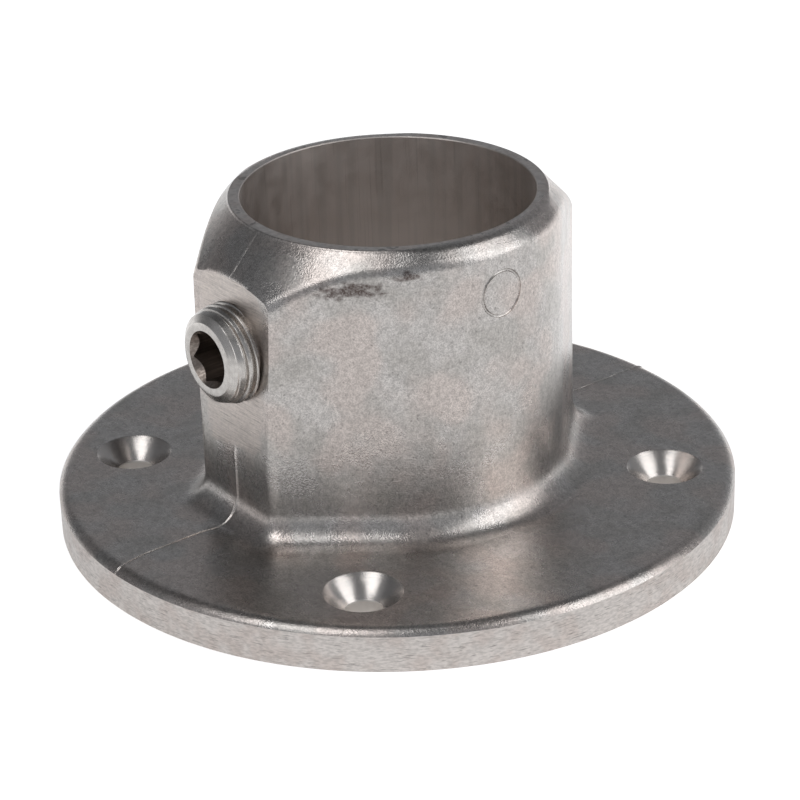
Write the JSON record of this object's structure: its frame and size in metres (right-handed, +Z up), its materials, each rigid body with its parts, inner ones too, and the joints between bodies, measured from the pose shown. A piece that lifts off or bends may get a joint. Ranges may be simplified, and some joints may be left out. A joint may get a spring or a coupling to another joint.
{
  "type": "tube clamp base flange",
  "caption": "Round cast floor flange with an upright tube socket, countersunk fixing holes and a socket set screw that clamps the tube.",
  "frame": {"origin": "centre of the flange's flat underside, on the tube's axis", "axes": "+Z up the tube's axis, away from the surface the flange is screwed to; the set screw comes in from the -Y side; X is square to both"},
  "size_m": [0.116, 0.116, 0.0575],
  "materials": {
    "cast_aluminium": "as cast and blasted, satin",
    "plated_steel": "turned and threaded, bright"
  },
  "bodies": {
    "flange": {"base_flange": "cast_aluminium"},
    "screw": {"set_screw": "plated_steel"}
  },
  "joints": [
    {"name": "set_screw_travel", "type": "slide", "parent": "flange", "child": "screw", "axis": [0, 1, 0], "range_m": [-0.00401, 0.00134]}
  ]
}
